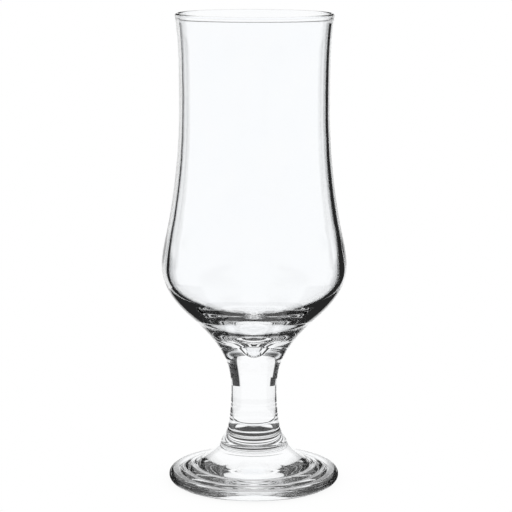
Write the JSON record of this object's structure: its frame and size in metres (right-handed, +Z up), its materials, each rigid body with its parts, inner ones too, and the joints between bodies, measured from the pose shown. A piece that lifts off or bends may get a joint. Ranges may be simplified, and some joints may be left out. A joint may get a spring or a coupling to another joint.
{
  "type": "stemmed beer glass",
  "caption": "Clear stemmed beer glass: a waisted tall bowl with a beaded rim, a short solid stem and a round foot with raised rings.",
  "frame": {"origin": "on the glass's own axis, in the plane that the foot's bearing ring stands on", "axes": "+Z up along the axis of the glass, from the foot to the rim; X and Y are any two directions across, since the glass is round"},
  "size_m": [0.077, 0.077, 0.196],
  "materials": {
    "clear_glass": "fire-polished, clear and colourless with a faint cool tint"
  },
  "bodies": {
    "root": {"bowl": "clear_glass", "stem": "clear_glass", "foot": "clear_glass"}
  },
  "joints": []
}
